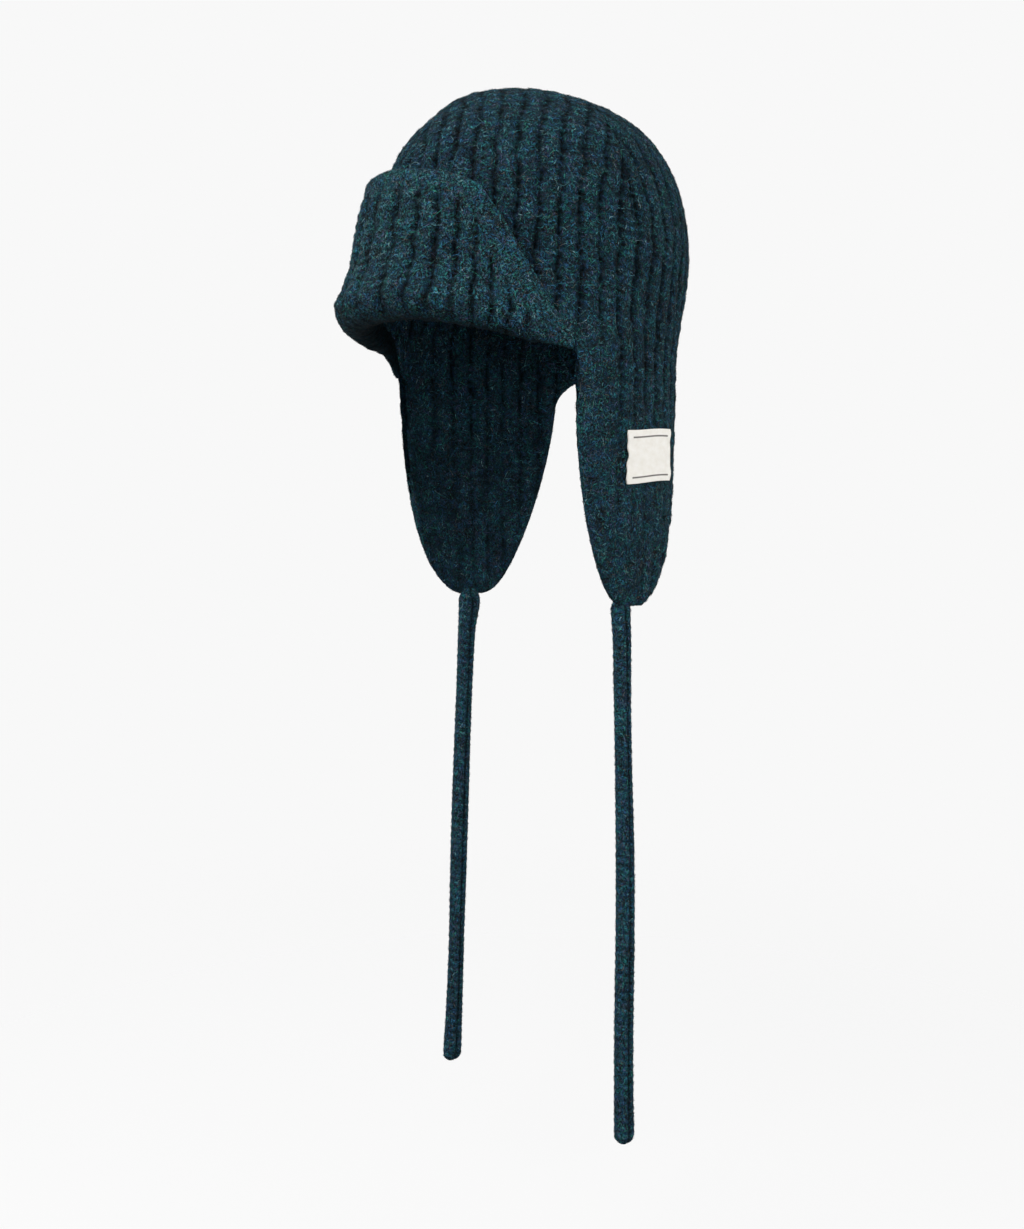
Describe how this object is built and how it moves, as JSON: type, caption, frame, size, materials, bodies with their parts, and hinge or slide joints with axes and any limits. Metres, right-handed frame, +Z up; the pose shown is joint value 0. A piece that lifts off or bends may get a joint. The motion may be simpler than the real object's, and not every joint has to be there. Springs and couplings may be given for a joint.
{
  "type": "knitted earflap beanie",
  "caption": "Ribbed knitted hat with a folded-up front brim, an earflap over each ear and a long tie hanging from each earflap.",
  "frame": {"origin": "inside top of the crown, where the top of a head touches the hat", "axes": "+Z up, the face looks towards -Y, the wearer's left ear is at +X"},
  "size_m": [0.187, 0.2335, 0.6232],
  "materials": {
    "knit": "brushed wool in a chunky rib, dark teal with blue and green flecks",
    "label": "off-white woven tape"
  },
  "bodies": {
    "root": {"crown_with_earflaps": "knit", "front_brim": "knit", "left_tie": "knit", "right_tie": "knit", "label": "label"}
  },
  "joints": []
}
